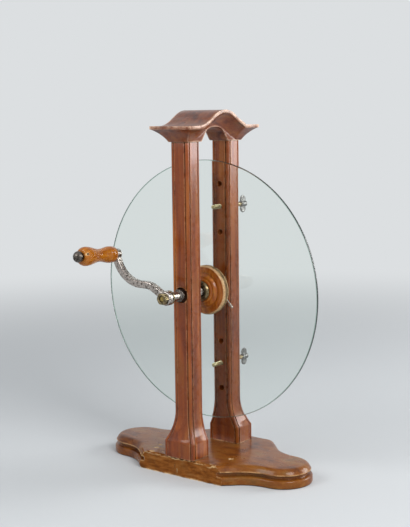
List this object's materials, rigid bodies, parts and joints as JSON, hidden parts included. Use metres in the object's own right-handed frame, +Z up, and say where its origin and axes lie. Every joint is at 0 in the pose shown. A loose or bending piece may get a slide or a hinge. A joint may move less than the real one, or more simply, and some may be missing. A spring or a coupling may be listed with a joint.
{
  "type": "friction electrical machine",
  "caption": "Old electrostatic machine: a clear glass disc on a cranked axle between wooden posts with a waved cap, on a waisted moulded base board.",
  "frame": {"origin": "middle of the base board's underside", "axes": "+Z up; Y along the axle, with the crank at -Y; X along the base board"},
  "size_m": [0.4499, 0.3309, 0.622],
  "materials": {
    "mahogany": "worn varnish",
    "walnut": "worn varnish",
    "hub_wood": "waxed, turned",
    "bush_wood": "oiled, turned",
    "boxwood": "polished by the hand",
    "glass": "clear, polished",
    "brass": "aged",
    "iron": "forged, pitted, worn bright",
    "leather": "pressed"
  },
  "bodies": {
    "frame": {"base_board": "walnut", "front_post": "mahogany", "rear_post": "mahogany", "cap_board": "mahogany", "front_axle_bush": "bush_wood", "rear_axle_bush": "bush_wood", "upper_screw_bush": "brass", "lower_screw_bush": "brass", "front_post_screw": "iron", "rear_post_screw": "iron"},
    "wheel": {"axle": "iron", "axle_collar": "iron", "rear_axle_washer": "brass", "rear_axle_nut": "brass", "glass_disc": "glass", "front_leather_washer": "leather", "rear_leather_washer": "leather", "front_hub_flange": "hub_wood", "rear_hub_flange": "hub_wood", "clamp_nut": "brass", "hub_pin": "iron", "crank_arm": "iron", "crank_washer": "brass", "crank_nut": "brass", "grip_spindle": "iron", "grip_washer": "iron", "grip_button": "iron"},
    "handle": {"grip": "boxwood"},
    "upper_screw": {"upper_pressure_screw": "iron"},
    "upper_wings": {"upper_wing_head": "brass"},
    "lower_screw": {"lower_pressure_screw": "iron"},
    "lower_wings": {"lower_wing_head": "brass"}
  },
  "joints": [
    {"name": "axle_spin", "type": "hinge", "parent": "frame", "child": "wheel", "pos_m": [0, 0, 0.3129], "axis": [0, -1, 0], "continuous": true},
    {"name": "grip_spin", "type": "hinge", "parent": "wheel", "child": "handle", "pos_m": [-0.10895, -0.1176, 0.3802], "axis": [0, -0.9986, 0.0523], "continuous": true},
    {"name": "upper_screw_travel", "type": "slide", "parent": "frame", "child": "upper_screw", "axis": [0, -1, 0], "range_m": [-0.02, 0.01]},
    {"name": "upper_wing_turn", "type": "hinge", "parent": "upper_screw", "child": "upper_wings", "pos_m": [0, 0.1088, 0.4549], "axis": [0, -1, 0], "range_deg": [-2880, 1440]},
    {"name": "lower_screw_travel", "type": "slide", "parent": "frame", "child": "lower_screw", "axis": [0, -1, 0], "range_m": [-0.02, 0.01]},
    {"name": "lower_wing_turn", "type": "hinge", "parent": "lower_screw", "child": "lower_wings", "pos_m": [0, 0.1088, 0.1765], "axis": [0, -1, 0], "range_deg": [-2880, 1440]}
  ],
  "couplings": [
    {"joint": "upper_wing_turn", "follows": "upper_screw_travel", "rad_per_m": 2513.3},
    {"joint": "lower_wing_turn", "follows": "lower_screw_travel", "rad_per_m": 2513.3}
  ]
}
